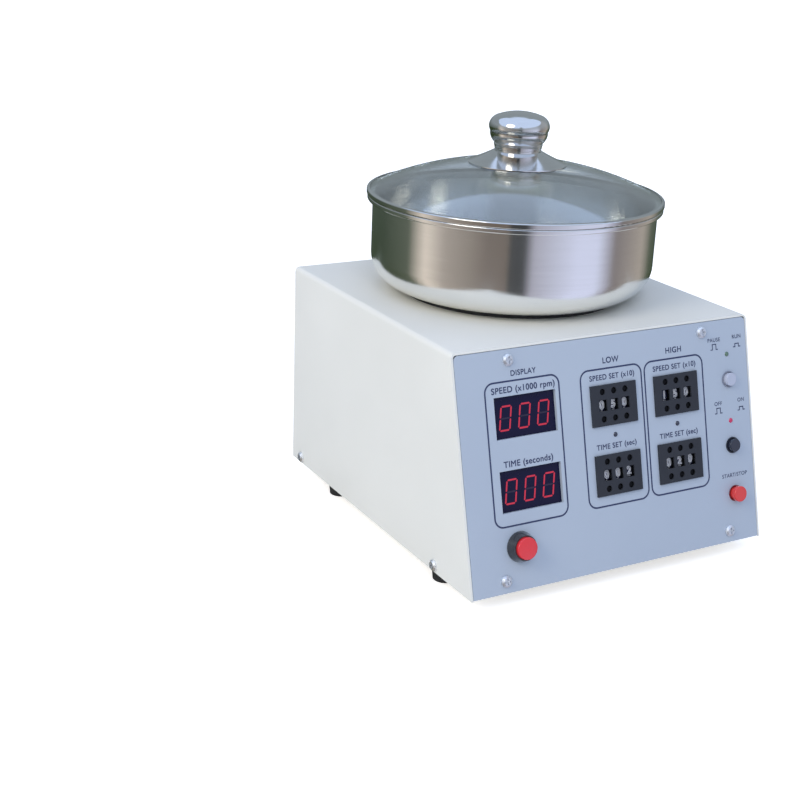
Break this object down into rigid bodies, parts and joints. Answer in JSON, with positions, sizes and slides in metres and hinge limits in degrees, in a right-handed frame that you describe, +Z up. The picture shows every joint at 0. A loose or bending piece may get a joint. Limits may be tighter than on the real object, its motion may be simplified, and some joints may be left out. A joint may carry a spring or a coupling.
{
  "type": "spin coater",
  "caption": "Bench-top spin coater: spun steel bowl with glass lid over a vacuum chuck, on a sloping-front case with displays, pushwheel switches and push buttons.",
  "frame": {"origin": "on the bench, under the middle of the outline", "axes": "+Z up, the sloping control panel faces -Y, the vacuum and mains connections face +Y"},
  "size_m": [0.214, 0.2588, 0.2555],
  "materials": {
    "case_paint": "fine satin powder coat, warm white",
    "panel_paint": "smooth satin paint, pale blue",
    "zinc_sheet": "bare zinc-plated sheet",
    "bowl_steel": "fine brushed stainless steel",
    "polished_steel": "polished stainless steel",
    "screw_steel": "nickel-plated steel",
    "lid_glass": "clear tempered glass",
    "soft_rubber": "matt black rubber",
    "hose": "translucent silicone hose",
    "aluminium": "machined aluminium",
    "motor_paint": "black enamel",
    "bearing_steel": "ground bearing steel",
    "brass": "nickelled brass",
    "black_plastic": "matt black moulding",
    "filter": "dark tinted acrylic",
    "chuck_polymer": "white acetal",
    "circuit_board": "green solder mask",
    "lamp": "small tinted lens",
    "red_cap": "glossy red cap",
    "white_cap": "glossy white cap",
    "black_cap": "glossy black cap",
    "digit_wheel": "black wheel with white figures"
  },
  "bodies": {
    "case": {"case_cover": "case_paint", "chassis_pan": "zinc_sheet", "front_panel": "panel_paint", "case_screws": "screw_steel", "rubber_feet": "soft_rubber", "bowl_gasket": "soft_rubber", "spin_bowl": "bowl_steel", "mounting_screws": "screw_steel", "motor_plate": "aluminium", "motor_housing": "motor_paint", "motor_bearings": "bearing_steel", "vacuum_union": "aluminium", "vacuum_hose": "hose", "vacuum_valve": "aluminium", "vacuum_port": "brass", "power_inlet": "black_plastic", "control_board": "circuit_board", "display_filters": "filter", "display_board": "circuit_board", "indicator_lamps": "lamp", "pushwheel_housings": "black_plastic", "power_switch_body": "black_plastic", "button_bodies": "black_plastic", "panel_nuts": "brass"},
    "lid": {"lid_glass": "lid_glass", "lid_rim": "polished_steel", "lid_knob": "polished_steel", "knob_skirt": "polished_steel", "knob_screw": "screw_steel"},
    "spindle": {"motor_spindle": "bearing_steel", "vacuum_chuck": "chuck_polymer", "chuck_o_ring": "soft_rubber"},
    "power_key": {"power_button": "red_cap"},
    "pause_key": {"pause_button": "white_cap"},
    "vacuum_key": {"vacuum_button": "black_cap"},
    "start_key": {"start_button": "red_cap"},
    "low_speed_wheel_hundreds": {"low_speed_wheel_hundreds": "digit_wheel"},
    "low_speed_keys_hundreds": {"low_speed_keys_hundreds": "black_plastic"},
    "low_speed_wheel_tens": {"low_speed_wheel_tens": "digit_wheel"},
    "low_speed_keys_tens": {"low_speed_keys_tens": "black_plastic"},
    "low_speed_wheel_units": {"low_speed_wheel_units": "digit_wheel"},
    "low_speed_keys_units": {"low_speed_keys_units": "black_plastic"},
    "low_time_wheel_hundreds": {"low_time_wheel_hundreds": "digit_wheel"},
    "low_time_keys_hundreds": {"low_time_keys_hundreds": "black_plastic"},
    "low_time_wheel_tens": {"low_time_wheel_tens": "digit_wheel"},
    "low_time_keys_tens": {"low_time_keys_tens": "black_plastic"},
    "low_time_wheel_units": {"low_time_wheel_units": "digit_wheel"},
    "low_time_keys_units": {"low_time_keys_units": "black_plastic"},
    "high_speed_wheel_hundreds": {"high_speed_wheel_hundreds": "digit_wheel"},
    "high_speed_keys_hundreds": {"high_speed_keys_hundreds": "black_plastic"},
    "high_speed_wheel_tens": {"high_speed_wheel_tens": "digit_wheel"},
    "high_speed_keys_tens": {"high_speed_keys_tens": "black_plastic"},
    "high_speed_wheel_units": {"high_speed_wheel_units": "digit_wheel"},
    "high_speed_keys_units": {"high_speed_keys_units": "black_plastic"},
    "high_time_wheel_hundreds": {"high_time_wheel_hundreds": "digit_wheel"},
    "high_time_keys_hundreds": {"high_time_keys_hundreds": "black_plastic"},
    "high_time_wheel_tens": {"high_time_wheel_tens": "digit_wheel"},
    "high_time_keys_tens": {"high_time_keys_tens": "black_plastic"},
    "high_time_wheel_units": {"high_time_wheel_units": "digit_wheel"},
    "high_time_keys_units": {"high_time_keys_units": "black_plastic"}
  },
  "joints": [
    {"name": "lid_lift", "type": "slide", "parent": "case", "child": "lid", "axis": [0, 0, 1], "range_m": [0, 0.12]},
    {"name": "spindle_spin", "type": "hinge", "parent": "case", "child": "spindle", "pos_m": [0, 0.01348, 0.178], "axis": [0, 0, 1], "continuous": true},
    {"name": "power_press", "type": "slide", "parent": "case", "child": "power_key", "axis": [0, 0.9658, -0.2595], "range_m": [0, 0.0025], "stiffness_N_per_m": 300, "springref_m": -0.001},
    {"name": "pause_press", "type": "slide", "parent": "case", "child": "pause_key", "axis": [0, 0.9658, -0.2595], "range_m": [0, 0.0018], "stiffness_N_per_m": 200, "springref_m": -0.001},
    {"name": "vacuum_press", "type": "slide", "parent": "case", "child": "vacuum_key", "axis": [0, 0.9658, -0.2595], "range_m": [0, 0.0018], "stiffness_N_per_m": 200, "springref_m": -0.001},
    {"name": "start_press", "type": "slide", "parent": "case", "child": "start_key", "axis": [0, 0.9658, -0.2595], "range_m": [0, 0.0018], "stiffness_N_per_m": 200, "springref_m": -0.001},
    {"name": "low_speed_hundreds_turn", "type": "hinge", "parent": "case", "child": "low_speed_wheel_hundreds", "pos_m": [-0.0071, -0.09106, 0.10112], "axis": [1, 0, 0], "continuous": true},
    {"name": "low_speed_hundreds_press", "type": "hinge", "parent": "case", "child": "low_speed_keys_hundreds", "pos_m": [-0.0071, -0.10004, 0.10353], "axis": [1, 0, 0], "range_deg": [-5, 5], "stiffness_Nm_per_rad": 0.0005},
    {"name": "low_speed_tens_turn", "type": "hinge", "parent": "case", "child": "low_speed_wheel_tens", "pos_m": [0.001, -0.09106, 0.10112], "axis": [1, 0, 0], "continuous": true},
    {"name": "low_speed_tens_press", "type": "hinge", "parent": "case", "child": "low_speed_keys_tens", "pos_m": [0.001, -0.10004, 0.10353], "axis": [1, 0, 0], "range_deg": [-5, 5], "stiffness_Nm_per_rad": 0.0005},
    {"name": "low_speed_units_turn", "type": "hinge", "parent": "case", "child": "low_speed_wheel_units", "pos_m": [0.0091, -0.09106, 0.10112], "axis": [1, 0, 0], "continuous": true},
    {"name": "low_speed_units_press", "type": "hinge", "parent": "case", "child": "low_speed_keys_units", "pos_m": [0.0091, -0.10004, 0.10353], "axis": [1, 0, 0], "range_deg": [-5, 5], "stiffness_Nm_per_rad": 0.0005},
    {"name": "low_time_hundreds_turn", "type": "hinge", "parent": "case", "child": "low_time_wheel_hundreds", "pos_m": [-0.0071, -0.10165, 0.06172], "axis": [1, 0, 0], "continuous": true},
    {"name": "low_time_hundreds_press", "type": "hinge", "parent": "case", "child": "low_time_keys_hundreds", "pos_m": [-0.0071, -0.11063, 0.06413], "axis": [1, 0, 0], "range_deg": [-5, 5], "stiffness_Nm_per_rad": 0.0005},
    {"name": "low_time_tens_turn", "type": "hinge", "parent": "case", "child": "low_time_wheel_tens", "pos_m": [0.001, -0.10165, 0.06172], "axis": [1, 0, 0], "continuous": true},
    {"name": "low_time_tens_press", "type": "hinge", "parent": "case", "child": "low_time_keys_tens", "pos_m": [0.001, -0.11063, 0.06413], "axis": [1, 0, 0], "range_deg": [-5, 5], "stiffness_Nm_per_rad": 0.0005},
    {"name": "low_time_units_turn", "type": "hinge", "parent": "case", "child": "low_time_wheel_units", "pos_m": [0.0091, -0.10165, 0.06172], "axis": [1, 0, 0], "continuous": true},
    {"name": "low_time_units_press", "type": "hinge", "parent": "case", "child": "low_time_keys_units", "pos_m": [0.0091, -0.11063, 0.06413], "axis": [1, 0, 0], "range_deg": [-5, 5], "stiffness_Nm_per_rad": 0.0005},
    {"name": "high_speed_hundreds_turn", "type": "hinge", "parent": "case", "child": "high_speed_wheel_hundreds", "pos_m": [0.0388, -0.09106, 0.10112], "axis": [1, 0, 0], "continuous": true},
    {"name": "high_speed_hundreds_press", "type": "hinge", "parent": "case", "child": "high_speed_keys_hundreds", "pos_m": [0.0388, -0.10004, 0.10353], "axis": [1, 0, 0], "range_deg": [-5, 5], "stiffness_Nm_per_rad": 0.0005},
    {"name": "high_speed_tens_turn", "type": "hinge", "parent": "case", "child": "high_speed_wheel_tens", "pos_m": [0.0469, -0.09106, 0.10112], "axis": [1, 0, 0], "continuous": true},
    {"name": "high_speed_tens_press", "type": "hinge", "parent": "case", "child": "high_speed_keys_tens", "pos_m": [0.0469, -0.10004, 0.10353], "axis": [1, 0, 0], "range_deg": [-5, 5], "stiffness_Nm_per_rad": 0.0005},
    {"name": "high_speed_units_turn", "type": "hinge", "parent": "case", "child": "high_speed_wheel_units", "pos_m": [0.055, -0.09106, 0.10112], "axis": [1, 0, 0], "continuous": true},
    {"name": "high_speed_units_press", "type": "hinge", "parent": "case", "child": "high_speed_keys_units", "pos_m": [0.055, -0.10004, 0.10353], "axis": [1, 0, 0], "range_deg": [-5, 5], "stiffness_Nm_per_rad": 0.0005},
    {"name": "high_time_hundreds_turn", "type": "hinge", "parent": "case", "child": "high_time_wheel_hundreds", "pos_m": [0.0388, -0.10165, 0.06172], "axis": [1, 0, 0], "continuous": true},
    {"name": "high_time_hundreds_press", "type": "hinge", "parent": "case", "child": "high_time_keys_hundreds", "pos_m": [0.0388, -0.11063, 0.06413], "axis": [1, 0, 0], "range_deg": [-5, 5], "stiffness_Nm_per_rad": 0.0005},
    {"name": "high_time_tens_turn", "type": "hinge", "parent": "case", "child": "high_time_wheel_tens", "pos_m": [0.0469, -0.10165, 0.06172], "axis": [1, 0, 0], "continuous": true},
    {"name": "high_time_tens_press", "type": "hinge", "parent": "case", "child": "high_time_keys_tens", "pos_m": [0.0469, -0.11063, 0.06413], "axis": [1, 0, 0], "range_deg": [-5, 5], "stiffness_Nm_per_rad": 0.0005},
    {"name": "high_time_units_turn", "type": "hinge", "parent": "case", "child": "high_time_wheel_units", "pos_m": [0.055, -0.10165, 0.06172], "axis": [1, 0, 0], "continuous": true},
    {"name": "high_time_units_press", "type": "hinge", "parent": "case", "child": "high_time_keys_units", "pos_m": [0.055, -0.11063, 0.06413], "axis": [1, 0, 0], "range_deg": [-5, 5], "stiffness_Nm_per_rad": 0.0005}
  ]
}
